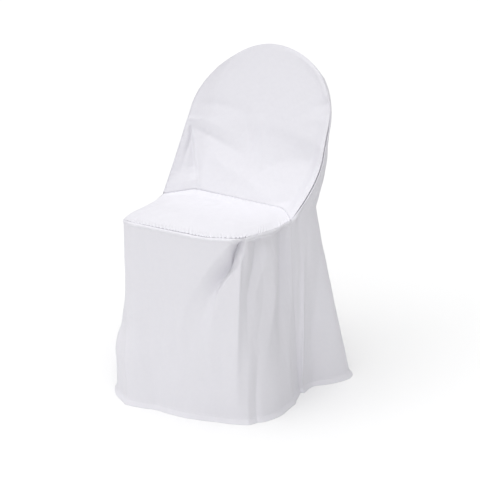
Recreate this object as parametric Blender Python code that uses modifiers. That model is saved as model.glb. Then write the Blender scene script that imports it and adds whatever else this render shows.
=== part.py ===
"""Fitted white polyester cover for a round-topped folding chair, in the shape it hangs in.

Four panels, each one sheet of cloth: the inside back with its two webs, the seat, the front
skirt, and the outside back, which wraps the chair back and falls to the floor behind. They meet
at seams and hang from the top of the chair back, which is left out.
The panels are worked out with the floor at z = 0 and the seat's front edge at y = 0. The empty
that carries them puts the hanging point, under the top of the cover, at the origin.
"""

from collections import namedtuple

import bmesh
import bpy
import numpy as np

# Cloth
CLOTH = 0.0015
SEAM_GAP = 0.0003

# Seat and its seam with the back
SEAT_HEIGHT = 0.465
SEAT_CROWN = 0.007
FRONT_RISE = 0.006
CORNER_RISE = 0.008
CORNER_SHARE = 0.27
WALL_HALF = 0.130
WALL_LEFT_Y = 0.270
WALL_RIGHT_Y = 0.252
WALL_RISE = 0.008
WALL_BEND = 15  # points of the 201 along the seam that its bends are averaged over

# Back: a half circle on nearly straight sides, in a plane that leans back. It is slack at upper left
BACK_FOOT_Y = 0.250
BACK_LEAN = 0.50
ARCH_MIDDLE = 0.002
ARCH_RADIUS = 0.196
ARCH_CENTRE_HEIGHT = 0.651
ARCH_SLACK = 0.010
PUCKER_LEFT = (-0.198, 0.622)
PUCKER_RIGHT = (0.200, 0.602)
BACK_HOLLOW = 0.010
WEB_BOW_LEFT = 0.004
WEB_BOW_RIGHT = 0.018
FRAME_DEPTH = 0.028
FRAME_ROLL = 0.012

# Columns and rows of the sheets. Neighbouring panels share the points of their seams
SIDE_COLUMNS = 4
MIDDLE_COLUMNS = 20
SEAT_ROWS = 16
UPPER_ROWS = 12
UPPER_ROW_POWER = 1.3
DROP_ROWS = 13
SHOULDER_ANGLE = 42.0
SHOULDER_SHARE = 0.12
WEB_JUNCTION_SHARE = 0.22
BACK_SIDE_SHARE = 0.10
FRONT_CORNER_SHARE = 0.08

# The cloth's fall, from 0 at the seat to 1 at the hem, and how wide a seam holds the folds down
FLARE_POWER = 1.3
REAR_FLARE_POWER = 1.05
REAR_FLARE_SHARE = 0.12
SEAM_HOLD = 0.022

# The angle in degrees between the panels at each seam
WALL_ANGLE = 112.0
EDGE_ANGLE = 62.0
SIDE_SEAM_ANGLE = 122.0
FLAT_ANGLE = 180.0

Fall = namedtuple("Fall", "share top_x top_y hem_x hem_y")
Crease = namedtuple("Crease", "from_u from_v to_u to_v depth width")

# The front skirt at the seat's edge and at the hem, from the left web foot round to the right
SKIRT = (
    Fall(0.00, -0.198, 0.218, -0.204, 0.240),
    Fall(0.07, -0.187, 0.165, -0.202, 0.172),
    Fall(0.14, -0.185, 0.108, -0.198, 0.100),
    Fall(0.20, -0.186, 0.052, -0.186, 0.044),
    Fall(0.24, -0.176, 0.016, -0.172, 0.010),
    Fall(0.28, -0.150, -0.003, -0.136, -0.015),
    Fall(0.35, -0.096, -0.007, -0.080, -0.018),
    Fall(0.50, 0.000, -0.007, 0.012, -0.013),
    Fall(0.64, 0.096, -0.006, 0.100, 0.007),
    Fall(0.69, 0.130, 0.000, 0.136, 0.018),
    Fall(0.73, 0.148, 0.018, 0.160, 0.032),
    Fall(0.78, 0.158, 0.048, 0.180, 0.053),
    Fall(0.85, 0.167, 0.098, 0.202, 0.110),
    Fall(0.92, 0.172, 0.152, 0.197, 0.175),
    Fall(1.00, 0.174, 0.205, 0.186, 0.235),
)

# The outside back level with the seat and at the hem, from the left foot round the rear
BACK = (
    Fall(0.00, -0.198, 0.218, -0.204, 0.240),
    Fall(0.08, -0.202, 0.262, -0.216, 0.285),
    Fall(0.16, -0.196, 0.312, -0.262, 0.362),
    Fall(0.25, -0.166, 0.366, -0.228, 0.422),
    Fall(0.37, -0.110, 0.422, -0.112, 0.450),
    Fall(0.50, 0.000, 0.440, 0.004, 0.462),
    Fall(0.63, 0.110, 0.422, 0.118, 0.448),
    Fall(0.75, 0.162, 0.360, 0.228, 0.424),
    Fall(0.84, 0.185, 0.306, 0.261, 0.366),
    Fall(0.92, 0.183, 0.254, 0.209, 0.282),
    Fall(1.00, 0.174, 0.205, 0.186, 0.235),
)

# Creases run straight across a panel, from side to side in u and from top to bottom in v.
# They stand out where depth is positive and run in where it is negative
SKIRT_CREASES = (
    Crease(0.695, 0.03, 0.620, 0.24, -0.012, 0.025),
    Crease(0.620, 0.24, 0.550, 0.62, -0.006, 0.032),
    Crease(0.715, 0.06, 0.706, 0.66, 0.009, 0.015),
    Crease(0.660, 0.30, 0.650, 0.70, 0.004, 0.026),
    Crease(0.728, 0.62, 0.722, 0.96, -0.006, 0.010),
    Crease(0.748, 0.84, 0.748, 1.00, 0.003, 0.020),
    Crease(0.820, 0.62, 0.795, 1.00, -0.009, 0.014),
    Crease(0.877, 0.16, 0.838, 0.70, 0.008, 0.014),
    Crease(0.948, 0.04, 0.880, 0.60, -0.012, 0.014),
    Crease(0.270, 0.10, 0.275, 1.00, 0.006, 0.014),
    Crease(0.190, 0.56, 0.190, 0.66, 0.014, 0.040),
    Crease(0.185, 0.78, 0.190, 1.10, 0.038, 0.060),
    Crease(0.262, 0.60, 0.268, 0.90, -0.006, 0.014),
    Crease(0.095, 0.30, 0.090, 1.00, -0.010, 0.022),
    Crease(0.040, 0.15, 0.045, 1.00, 0.008, 0.020),
    Crease(0.380, 0.40, 0.385, 1.00, -0.003, 0.030),
)
BACK_CREASES = (
    Crease(0.955, 0.56, 0.985, 0.96, 0.011, 0.020),
    Crease(0.900, 0.62, 0.915, 0.98, -0.010, 0.030),
    Crease(0.030, 0.56, 0.040, 0.96, 0.010, 0.022),
    Crease(0.100, 0.60, 0.090, 0.98, -0.010, 0.032),
    Crease(0.270, 0.48, 0.285, 1.00, -0.014, 0.036),
    Crease(0.370, 0.40, 0.390, 1.00, 0.012, 0.034),
    Crease(0.470, 0.50, 0.480, 1.00, -0.011, 0.036),
    Crease(0.570, 0.36, 0.565, 1.00, 0.010, 0.036),
    Crease(0.660, 0.46, 0.680, 1.00, -0.013, 0.040),
    Crease(0.240, 0.16, 0.640, 0.30, -0.006, 0.030),
)
INSIDE_CREASES = (
    Crease(0.04, 0.30, 0.40, 0.30, -0.005, 0.018),
    Crease(0.05, 0.44, 0.48, 0.62, -0.006, 0.018),
    Crease(0.06, 0.34, 0.40, 0.44, 0.005, 0.016),
    Crease(0.16, 0.60, 0.72, 0.90, 0.006, 0.020),
    Crease(0.56, 0.42, 0.58, 0.66, 0.005, 0.014),
    Crease(0.51, 0.42, 0.52, 0.60, -0.004, 0.014),
    Crease(0.76, 0.66, 0.92, 0.66, -0.008, 0.024),
    Crease(0.90, 0.36, 0.97, 0.38, -0.004, 0.014),
    Crease(0.06, 0.62, 0.14, 0.92, -0.010, 0.016),
)
SEAT_CREASES = (
    Crease(0.10, 0.10, 0.52, 0.16, -0.005, 0.016),
    Crease(0.62, 0.10, 0.86, 0.42, -0.004, 0.020),
    Crease(0.20, 0.62, 0.46, 0.72, 0.003, 0.030),
)


def smooth_step(t):
    """0 below 0, 1 above 1, and an S curve between."""
    t = np.clip(t, 0.0, 1.0)
    return t * t * (3.0 - 2.0 * t)


def through(falls, share, x, y):
    """Plan points at these shares on the smooth curve through two columns of a table."""
    known = np.array([fall.share for fall in falls])
    plan = np.array([(getattr(fall, x), getattr(fall, y)) for fall in falls])
    slope = np.gradient(plan, known, axis=0)
    index = np.clip(np.searchsorted(known, share) - 1, 0, len(known) - 2)
    width = (known[index + 1] - known[index])[..., None]
    t = (share - known[index])[..., None] / width
    start = (1 + 2 * t) * (1 - t) ** 2 * plan[index] + t * (1 - t) ** 2 * width * slope[index]
    end = (3 - 2 * t) * t**2 * plan[index + 1] - (1 - t) * t**2 * width * slope[index + 1]
    return start + end


def resampled(points, shares):
    """Points at these shares of a polyline's length."""
    steps = np.linalg.norm(np.diff(points, axis=0), axis=1)
    length = np.concatenate([[0.0], np.cumsum(steps)])
    length /= length[-1]
    return np.stack([np.interp(shares, length, column) for column in points.T], axis=-1)


def with_midpoints(values):
    """Every value, with one halfway between each two."""
    places = np.arange(2 * len(values) - 1) / 2.0
    known = np.arange(len(values))
    if values.ndim == 1:
        return np.interp(places, known, values)
    return np.stack([np.interp(places, known, column) for column in values.T], axis=-1)


def column_shares(side_share):
    """One share for each column: the side columns take side_share of the length at either end."""
    side = np.linspace(0.0, side_share, SIDE_COLUMNS + 1)
    middle = np.linspace(side_share, 1.0 - side_share, MIDDLE_COLUMNS + 1)
    return np.concatenate([side, middle[1:-1], 1.0 - side[::-1]])


def upper_shares():
    """Rows between the top and the web feet, closer together near the top."""
    return (np.arange(UPPER_ROWS + 1) / UPPER_ROWS) ** UPPER_ROW_POWER


def drop_shares():
    """Rows from 0 at the seat down to 1 at the hem."""
    return np.arange(DROP_ROWS + 1) / DROP_ROWS


def lean(z):
    """How far back the plane of the chair back lies at this height."""
    return BACK_FOOT_Y + BACK_LEAN * (z - SEAT_HEIGHT)


def arch(start, end):
    """Points of the round top between two angles in degrees, in the leaning plane."""
    angle = np.radians(np.linspace(start, end, 61))
    radius = ARCH_RADIUS - ARCH_SLACK * np.where(np.cos(angle) < 0.0, np.sin(2.0 * angle) ** 2, 0.0)
    x = ARCH_MIDDLE + radius * np.cos(angle)
    z = ARCH_CENTRE_HEIGHT + radius / np.hypot(1.0, BACK_LEAN) * np.sin(angle)
    return np.stack([x, lean(z), z], axis=-1)


def arch_top():
    """The seam over the top, from the left shoulder to the right one."""
    return resampled(arch(180.0 - SHOULDER_ANGLE, SHOULDER_ANGLE), column_shares(SHOULDER_SHARE))


def web_foot(side):
    """Where the webs come down on the seat's sides and all four panels meet."""
    foot = SKIRT[0] if side < 0 else SKIRT[-1]
    return np.array([foot.top_x, foot.top_y, SEAT_HEIGHT])


def side_seam(side):
    """The seam from a shoulder down the round top to the pucker, then bowed forward to the foot."""
    shoulder = arch(180.0 - SHOULDER_ANGLE, 180.0) if side < 0 else arch(SHOULDER_ANGLE, 0.0)
    x, z = PUCKER_LEFT if side < 0 else PUCKER_RIGHT
    pucker = np.array([x, lean(z), z])
    t = np.linspace(0.0, 1.0, 41)[:, None]
    bow = np.array([0.25 * side, 1.0, 0.0]) * (WEB_BOW_LEFT if side < 0 else WEB_BOW_RIGHT)
    web = pucker + (web_foot(side) - pucker) * t + bow * 4.0 * t * (1.0 - t)
    return resampled(np.concatenate([shoulder, web]), upper_shares())


def junction():
    """The seam of seat and back: along the wall, rounded where it comes forward to the feet."""
    wall = np.array([[-WALL_HALF, WALL_LEFT_Y], [WALL_HALF, WALL_RIGHT_Y]])
    corners = np.concatenate([[web_foot(-1)[:2]], wall, [web_foot(1)[:2]]])
    dense = resampled(corners, np.linspace(0.0, 1.0, 201))
    kernel = np.ones(WALL_BEND) / WALL_BEND
    rounded = np.stack([np.convolve(column, kernel, mode="valid") for column in dense.T], axis=-1)
    plan = np.concatenate([dense[:1], rounded, dense[-1:]])
    shares = column_shares(WEB_JUNCTION_SHARE)
    plan = resampled(plan, shares)
    from_foot = np.minimum(shares, 1.0 - shares) / WEB_JUNCTION_SHARE
    z = SEAT_HEIGHT + WALL_RISE * smooth_step(from_foot)
    return np.concatenate([plan, z[:, None]], axis=1)


def seat_edge_height(shares):
    """Level at the sides, higher along the front and highest at a bell on the right front corner."""
    front = smooth_step((shares - 0.23) / 0.05) * smooth_step((0.92 - shares) / 0.12)
    return SEAT_HEIGHT + FRONT_RISE * front + CORNER_RISE * np.exp(-(((shares - 0.70) / 0.08) ** 2))


def seat_edge(shares):
    """The seat's outline, which is also the top of the front skirt."""
    plan = through(SKIRT, shares, "top_x", "top_y")
    return np.concatenate([plan, seat_edge_height(shares)[:, None]], axis=1)


def front_shares():
    """The columns of the seat's front edge."""
    return CORNER_SHARE + (1.0 - 2.0 * CORNER_SHARE) * column_shares(FRONT_CORNER_SHARE)


def skirt_shares():
    """The front skirt's columns: along one side of the seat, its front, and the other side."""
    side = np.linspace(0.0, CORNER_SHARE, SEAT_ROWS + 1)
    return np.concatenate([side, front_shares()[1:-1], 1.0 - side[::-1]])


def stretched(top, bottom, left, right, rows):
    """A sheet stretched between four edges: both ruled surfaces less the one they share."""
    u = np.linspace(0.0, 1.0, len(top))[None, :, None]
    v = rows[:, None, None]
    sheet = top * (1 - v) + bottom * v + left[:, None] * (1 - u) + right[:, None] * u
    sheet -= (top[0] * (1 - u) + top[-1] * u) * (1 - v)
    sheet -= (bottom[0] * (1 - u) + bottom[-1] * u) * v
    return sheet


def surface_normals(sheet):
    """Unit normals of a sheet of rows of points."""
    normal = np.cross(np.gradient(sheet, axis=1), np.gradient(sheet, axis=0))
    return normal / np.linalg.norm(normal, axis=-1, keepdims=True)


def creased(sheet, u, v, creases, out, free_hem=False):
    """The sheet moved along its normals by every crease: a bell across the crease's line.

    The seams hold the folds down, and out is 1 or -1, whichever makes the normals face out.
    A free hem moves with its folds and stays level.
    """
    width = np.linalg.norm(np.diff(sheet, axis=1), axis=-1).sum(axis=1).mean()
    height = np.linalg.norm(np.diff(sheet, axis=0), axis=-1).sum(axis=0).mean()
    place = np.stack(np.broadcast_arrays(u[None] * width, v[:, None] * height), axis=-1)
    move = np.zeros(place.shape[:2])
    for crease in creases:
        start = np.array([crease.from_u * width, crease.from_v * height])
        run = np.array([crease.to_u * width, crease.to_v * height]) - start
        along = np.clip((place - start) @ run / (run @ run), 0.0, 1.0)
        away = np.linalg.norm(place - start - along[..., None] * run, axis=-1)
        move += crease.depth * np.exp(-((away / crease.width) ** 2))
    from_seam = np.minimum(np.minimum(place[..., 0], width - place[..., 0]), place[..., 1])
    if not free_hem:
        from_seam = np.minimum(from_seam, height - place[..., 1])
    move *= smooth_step(from_seam / SEAM_HOLD)
    result = sheet + out * surface_normals(sheet) * move[..., None]
    if free_hem:
        result[-1, :, 2] = sheet[-1, :, 2]
    return result


def inside_back():
    """Stretched between the round top, both side seams and the junction, and hollowed a little."""
    rows = upper_shares()
    sheet = stretched(arch_top(), junction(), side_seam(-1), side_seam(1), rows)
    columns = np.linspace(0.0, 1.0, sheet.shape[1])
    hollow = np.sin(np.pi * rows)[:, None] * np.sin(np.pi * columns)[None]
    sheet[..., 1] += BACK_HOLLOW * hollow
    return creased(sheet, columns, rows, INSIDE_CREASES, -1.0)


def seat():
    """Stretched between the junction, the two sides and the front, and slightly crowned."""
    side = np.linspace(0.0, CORNER_SHARE, SEAT_ROWS + 1)
    rows = np.linspace(0.0, 1.0, SEAT_ROWS + 1)
    front = seat_edge(front_shares())
    sheet = stretched(junction(), front, seat_edge(side), seat_edge(1.0 - side), rows)
    columns = np.linspace(0.0, 1.0, sheet.shape[1])
    sheet[..., 2] += SEAT_CROWN * np.sin(np.pi * rows)[:, None] * np.sin(np.pi * columns)[None]
    return creased(sheet, columns, rows, SEAT_CREASES, -1.0)


def hung(falls, shares, power, top_z):
    """Cloth that falls from the table's upper plan curve, at these heights, to its hem."""
    drop = drop_shares()[:, None]
    flare = (drop**power)[..., None]
    top = through(falls, shares, "top_x", "top_y")
    hem = through(falls, shares, "hem_x", "hem_y")
    plan = top[None] * (1.0 - flare) + hem[None] * flare
    height = top_z * (1.0 - drop)
    return np.concatenate([plan, height[..., None]], axis=-1)


def front_skirt():
    """Falls from the seat's outline to the hem in front, between the two side seams."""
    shares = skirt_shares()
    sheet = hung(SKIRT, shares, FLARE_POWER, seat_edge_height(shares))
    return creased(sheet, shares, drop_shares(), SKIRT_CREASES, -1.0, free_hem=True)


def outside_back():
    """Rolls back over the frame from the round top, falls to the seat and flares to the hem."""
    shares = with_midpoints(column_shares(BACK_SIDE_SHARE))
    from_side = smooth_step(np.minimum(shares, 1.0 - shares) / REAR_FLARE_SHARE)
    power = FLARE_POWER + (REAR_FLARE_POWER - FLARE_POWER) * from_side
    lower = hung(BACK, shares, power, np.full(len(shares), SEAT_HEIGHT))
    rows = upper_shares()
    inner = inside_back()
    inner += surface_normals(inner) * (CLOTH + SEAM_GAP)
    lower[0, 0], lower[0, -1] = inner[-1, 0], inner[-1, -1]
    upper = stretched(with_midpoints(inner[0]), lower[0], inner[:, 0], inner[:, -1], rows)
    left, right, above = (np.linalg.norm(upper - edge, axis=-1)
                          for edge in (upper[:, :1], upper[:, -1:], upper[:1]))
    fallen = np.minimum(np.minimum(left, right), above)
    rolled = FRAME_DEPTH * (1.0 - np.exp(-fallen / FRAME_ROLL)) * (1.0 - rows**2)[:, None]
    behind = np.array([0.0, 1.0, -BACK_LEAN]) / np.hypot(1.0, BACK_LEAN)
    upper += behind * rolled[..., None]
    sheet = np.concatenate([upper, lower[1:]])
    down = np.linspace(0.0, 1.0, len(sheet))
    return creased(sheet, shares, down, BACK_CREASES, 1.0, free_hem=True)


def setback(angle):
    """How far an edge stops short of its seam, where two panels meet at this angle in degrees."""
    half = np.radians(angle) / 2.0
    return CLOTH / 2.0 / np.tan(half) + SEAM_GAP / 2.0 / np.sin(half)


def drawn_back(sheet, edge, inner, angle):
    """The sheet with one edge row or column moved toward the next by its setback."""
    along = sheet[inner] - sheet[edge]
    length = np.linalg.norm(along, axis=-1, keepdims=True)
    result = sheet.copy()
    result[edge] += along / length * np.reshape(setback(angle), (-1, 1))
    return result


def trimmed(sheet, sides, top, bottom=None):
    """The sheet clear of its neighbours, given the angle it meets them at along each edge."""
    sheet = drawn_back(sheet, np.s_[0], np.s_[1], top)
    if bottom is not None:
        sheet = drawn_back(sheet, np.s_[-1], np.s_[-2], bottom)
    sheet = drawn_back(sheet, np.s_[:, 0], np.s_[:, 1], sides)
    return drawn_back(sheet, np.s_[:, -1], np.s_[:, -2], sides)


def white_polyester(name):
    """Matt white woven polyester."""
    material = bpy.data.materials.new(name)
    material.use_nodes = True
    surface = material.node_tree.nodes["Principled BSDF"]
    surface.inputs["Base Color"].default_value = (0.86, 0.86, 0.88, 1.0)
    surface.inputs["Roughness"].default_value = 0.85
    surface.inputs["Metallic"].default_value = 0.0
    return material


def make_panel(name, sheet, collection, carrier):
    """A grid laid on the sheet's points, thickened to the cloth."""
    rows, columns = sheet.shape[0] - 1, sheet.shape[1] - 1
    grid = bmesh.new()
    bmesh.ops.create_grid(grid, x_segments=columns, y_segments=rows, size=0.5)
    for vert in grid.verts:
        column = round((vert.co.x + 0.5) * columns)
        row = round((vert.co.y + 0.5) * rows)
        vert.co = sheet[row, column]
    mesh = bpy.data.meshes.new(name)
    grid.to_mesh(mesh)
    grid.free()
    mesh.shade_smooth()
    mesh.materials.append(white_polyester(f"white polyester, {name.replace('_', ' ')}"))
    panel = bpy.data.objects.new(name, mesh)
    panel.parent = carrier
    collection.objects.link(panel)
    thickness = panel.modifiers.new("cloth", "SOLIDIFY")
    thickness.thickness = CLOTH
    thickness.offset = 0.0


def main():
    for old in list(bpy.data.objects):
        bpy.data.objects.remove(old)
    collection = bpy.data.collections.new("chair_cover")
    bpy.context.scene.collection.children.link(collection)
    crown = arch_top()[:, 1:].max(axis=0)
    carrier = bpy.data.objects.new("hanging_point", None)
    carrier.location = (0.0, -(crown[0] + FRAME_DEPTH / 2.0), -(crown[1] - FRAME_ROLL))
    collection.objects.link(carrier)
    sheets = {
        "inside_back": trimmed(inside_back(), sides=FLAT_ANGLE, top=FLAT_ANGLE, bottom=WALL_ANGLE),
        "seat": trimmed(seat(), sides=EDGE_ANGLE, top=WALL_ANGLE, bottom=EDGE_ANGLE),
        "front_skirt": trimmed(front_skirt(), sides=SIDE_SEAM_ANGLE, top=EDGE_ANGLE),
        "outside_back": trimmed(outside_back(), sides=SIDE_SEAM_ANGLE, top=FLAT_ANGLE),
    }
    for name, sheet in sheets.items():
        make_panel(name, sheet, collection, carrier)


main()
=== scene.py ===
"""Fitted white polyester cover for a round-topped folding chair, in the folds in which it hangs.

Four panels are worked out as surfaces on grids: the inside back with its two webs, the seat, the
front skirt and the outside back. Each is stretched between its seams, then folded along the main
creases, gathered at its seams and hemmed. The sizes are in metres, with the floor at z = 0 and the
seat's front edge at y = 0, and the finished panels are moved to put the hanging point at the origin.
"""

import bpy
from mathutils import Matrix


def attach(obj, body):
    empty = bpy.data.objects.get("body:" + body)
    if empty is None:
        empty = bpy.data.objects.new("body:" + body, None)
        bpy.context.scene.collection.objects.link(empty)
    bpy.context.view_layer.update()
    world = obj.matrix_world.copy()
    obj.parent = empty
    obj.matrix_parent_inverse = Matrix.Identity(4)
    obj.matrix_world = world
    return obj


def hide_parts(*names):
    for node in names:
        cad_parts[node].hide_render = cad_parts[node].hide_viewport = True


bl_info = {
    "name": "Fitted Chair Cover",
    "version": (1, 0, 0),
    "blender": (4, 5, 0),
    "location": "View3D > Sidebar > Chair Cover",
    "description": "Builds the panels, hem stitching and studio of a fitted white chair cover",
    "category": "Object",
}

from collections import namedtuple

import bpy
import numpy as np
from bpy.props import FloatProperty, FloatVectorProperty, PointerProperty, StringProperty
from mathutils import Vector

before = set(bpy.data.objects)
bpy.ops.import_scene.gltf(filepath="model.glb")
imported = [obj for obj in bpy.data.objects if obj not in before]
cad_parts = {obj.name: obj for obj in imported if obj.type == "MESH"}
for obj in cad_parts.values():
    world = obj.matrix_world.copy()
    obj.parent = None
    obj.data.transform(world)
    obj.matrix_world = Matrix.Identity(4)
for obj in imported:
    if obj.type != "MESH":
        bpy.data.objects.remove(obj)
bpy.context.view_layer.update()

MILLIMETRE = 0.001

# An S curve along a share from 0 to 1: where it starts and its width, below 0 where it falls
Rise = namedtuple("Rise", "start width")
# Gathers at a seam: their height, the seed of their draws, their spacing and their reach
Gather = namedtuple("Gather", "height seed spacing reach")
# Waves that are added up: their number, shortest and longest length, and slant in radians
Ripple = namedtuple("Ripple", "count short long slant")

# Where the chair's top rail holds the cover
HANGING_POINT = np.array([0.0, 0.44465, 0.81431])

# The seat and its edge, higher along the front and highest at the right front corner
SEAT_HEIGHT = 0.465
SEAT_CROWN = 0.007
FRONT_RISE = 0.006
FRONT_STARTS = Rise(0.23, 0.05)
FRONT_ENDS = Rise(0.92, -0.12)
CORNER_RISE = 0.008
CORNER_PLACE = 0.70
CORNER_REACH = 0.08
CORNER_SHARE = 0.27

# The seam of seat and back: a straight wall between two bends, with a web at either end
WALL_HALF = 0.130
WALL_LEFT_Y = 0.270
WALL_RIGHT_Y = 0.252
WALL_RISE = 0.008
WALL_POINTS = 1001
WALL_BEND = 75

# The back leans, its round top is slack at the upper left, and its webs run down to the seat
BACK_FOOT_Y = 0.250
BACK_LEAN = 0.50
ARCH_MIDDLE = 0.002
ARCH_RADIUS = 0.196
ARCH_CENTRE_HEIGHT = 0.651
ARCH_SLACK = 0.010
SHOULDER_ANGLE = 42.0
PUCKER_LEFT = (-0.198, 0.622)
PUCKER_RIGHT = (0.200, 0.602)
BACK_HOLLOW = 0.010
WEB_BOW_LEFT = 0.004
WEB_BOW_RIGHT = 0.023
WEB_BOW_SIDEWAYS = 0.25
SHOULDER_POINTS = 60
WEB_POINTS = 121
SEAM_POINTS = 401
SEAM_BEND = 19
FRAME_DEPTH = 0.028
FRAME_ROLL = 0.012

# Share of a panel's width that its side columns take, and of each edge's length
SIDE_WIDTH = 1.0 / 7.0
SHOULDER_SHARE = 0.12
WEB_JUNCTION_SHARE = 0.22
BACK_SIDE_SHARE = 0.10
FRONT_CORNER_SHARE = 0.08

# Share of the outside back's rows above the seat's level, and how the cloth spreads below it
UPPER_PART = 0.48
UPPER_ROW_POWER = 1.3
FLARE_POWER = 1.3
REAR_FLARE_POWER = 1.05
REAR_FLARE_SHARE = 0.12

# The sense in which a panel's grid is wound, seen from outside
FRONT_FACING = -1.0
REAR_FACING = 1.0

# The cloth turns in at its seams, which hold the folds down beside them
CLOTH_THICKNESS = 0.0008
SEAM_HOLD = 0.014
TUCK_DEPTH = 0.0042
TUCK_REACH = 0.0038
ARCH_TUCK = 0.0012
RIM_DEEPENS = Rise(0.0, 0.3)
GROOVE_DEPTH = 0.014
GROOVE_REACH = 0.0074
GROOVE_TURNS = Rise(0.15, 0.12)
GROOVE_OPENS = Rise(0.22, 0.20)
GROOVE_CLOSES = Rise(1.0, -0.10)
JUNCTION_TUCK = 0.0016
LEFT_WEB_TUCK = 0.0026
LEFT_WEB = Rise(0.34, -0.14)
SEAT_TUCK = 0.0070
SEAT_TUCK_REACH = 0.0045
SEAT_TUCK_EASE = 0.6
SEAT_RIGHT_SIDE = Rise(0.70, 0.07)
PIPING_PROUD = 0.0016
PIPING_BELOW = 0.0065
PIPING_REACH = 0.0032
POCKET_CENTRE = (0.0, 0.385, 0.640)
SEAT_CENTRE = (-0.008, 0.130, 0.430)
WALL_TUCK = np.array([0.0, 0.5, -0.86])
GROOVE_TUCK = np.array([-0.46, 0.81, -0.36])

# Slight waves all over, and how the flanks of a flat fold fall
SLIGHT_WAVES = 0.0004
BACK_WAVES = 0.00015
FINE_WAVES = 0.00005
SLIGHT_RIPPLES = Ripple(7, 0.030, 0.110, 0.5)
FINE_RIPPLES = Ripple(9, 0.010, 0.028, 0.9)
FLAT_FLANK_POWER = 1.2

# Gathers at the seams, drawn at knots along them
KNOT_SPACING = 0.015
KNOT_STEPS = (0.6, 1.4)
KNOT_HEIGHTS = (0.15, 1.0)
GATHER_HOLD = 0.005
BACK_FOOT_GATHERS = Gather(0.0011, 21, 0.011, 0.009)
LEFT_WEB_GATHERS = Gather(0.0009, 22, 0.010, 0.007)
RIGHT_WEB_GATHERS = Gather(0.0012, 23, 0.009, 0.010)
BACK_TOP_GATHERS = Gather(0.0003, 24, 0.008, 0.006)
WEB_STARTS = Rise(0.40, 0.10)
ABOVE_WEB = 0.35
SEAT_FRONT_GATHERS = Gather(0.0038, 41, 0.0095, 0.015)
SEAT_RIGHT_GATHERS = Gather(0.0034, 42, 0.010, 0.013)
SEAT_LEFT_GATHERS = Gather(0.0009, 43, 0.010, 0.009)
SEAT_REAR_GATHERS = Gather(0.0016, 44, 0.010, 0.011)
SEAT_TIGHTER = Rise(0.62, 0.2)
SEAT_TIGHTER_GAIN = 0.5
SKIRT_GATHERS = Gather(0.0009, 61, 0.0085, 0.010)
SKIRT_TIGHTER = Rise(0.66, 0.1)
SKIRT_TIGHTER_GAIN = 1.2
OUTSIDE_TOP_GATHERS = Gather(0.0005, 81, 0.010, 0.007)
OUTSIDE_SIDE_GATHERS = Gather(0.0006, 82, 0.012, 0.008)

# The hem is doubled and topstitched
HEM_WIDTH = 0.014
HEM_SOFTNESS = 0.002
HEM_PROUD = 0.0007
HEM_FLARE = 0.0055
HEM_FLARE_POWER = 1.5
STITCH_HEIGHT = 0.0115
STITCH_DIP = 0.7
STITCH_DIP_REACH = 0.0012
STITCH_PITCH = 0.0042
STITCH_LENGTH = 0.0030
STITCH_RINGS = 7
STITCH_SIDES = 6
THREAD_RADIUS = 0.00022
THREAD_SINK = 1.6
THREAD_TIP = 0.02

# The yarns lie 0.35 mm apart, and are drawn three times as coarse so that they can show
YARN_SPACING = 0.00035
DRAWN_COARSER = 3.0
# A Wave texture of scale s has a band in each 2 pi / (20 s)
WAVE_TEXTURE_FACTOR = 20.0
# Slubs are the yarn's thicker places
SLUBS_PER_METRE = 90.0
WEAVE_RELIEF = 0.00025

# The photograph's view
CAMERA_TARGET = np.array([0.075, 0.134, 0.42])
CAMERA_AZIMUTH = 30.0
CAMERA_ELEVATION = 21.0
CAMERA_DISTANCE = 3.2
CAMERA_REACH = 300.0
SENSOR_WIDTH = 36.0
FOCAL_PIXELS = 1349.0
PHOTO_PIXELS = 480.0
FOCAL_LENGTH = SENSOR_WIDTH * FOCAL_PIXELS / PHOTO_PIXELS
FILL_WIDTH = np.radians(50.0)
FLOOR_SIDES = 96

Fall = namedtuple("Fall", "share top_x top_y hem_x hem_y")
Span = namedtuple("Span", "start end steps")

# The front skirt at the seat's edge and at the hem, from the left web foot round to the right
SKIRT = (
    Fall(0.00, -0.198, 0.218, -0.204, 0.240),
    Fall(0.07, -0.187, 0.165, -0.202, 0.172),
    Fall(0.14, -0.185, 0.108, -0.198, 0.100),
    Fall(0.20, -0.186, 0.052, -0.186, 0.044),
    Fall(0.24, -0.176, 0.016, -0.172, 0.010),
    Fall(0.28, -0.150, -0.003, -0.136, -0.015),
    Fall(0.35, -0.096, -0.007, -0.080, -0.018),
    Fall(0.50, 0.000, -0.007, 0.012, -0.013),
    Fall(0.64, 0.096, -0.006, 0.100, 0.007),
    Fall(0.69, 0.130, 0.000, 0.136, 0.018),
    Fall(0.73, 0.148, 0.018, 0.160, 0.032),
    Fall(0.78, 0.158, 0.048, 0.180, 0.053),
    Fall(0.85, 0.167, 0.098, 0.202, 0.110),
    Fall(0.92, 0.172, 0.152, 0.197, 0.175),
    Fall(1.00, 0.174, 0.205, 0.186, 0.235),
)

# The outside back level with the seat and at the hem, from the left foot round the rear
BACK = (
    Fall(0.00, -0.198, 0.218, -0.204, 0.240),
    Fall(0.08, -0.202, 0.262, -0.216, 0.285),
    Fall(0.16, -0.196, 0.312, -0.262, 0.362),
    Fall(0.25, -0.166, 0.366, -0.228, 0.422),
    Fall(0.37, -0.110, 0.422, -0.112, 0.450),
    Fall(0.50, 0.000, 0.440, 0.004, 0.462),
    Fall(0.63, 0.110, 0.422, 0.118, 0.448),
    Fall(0.75, 0.162, 0.360, 0.228, 0.424),
    Fall(0.84, 0.185, 0.306, 0.261, 0.366),
    Fall(0.92, 0.183, 0.254, 0.209, 0.282),
    Fall(1.00, 0.174, 0.205, 0.186, 0.235),
)

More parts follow.
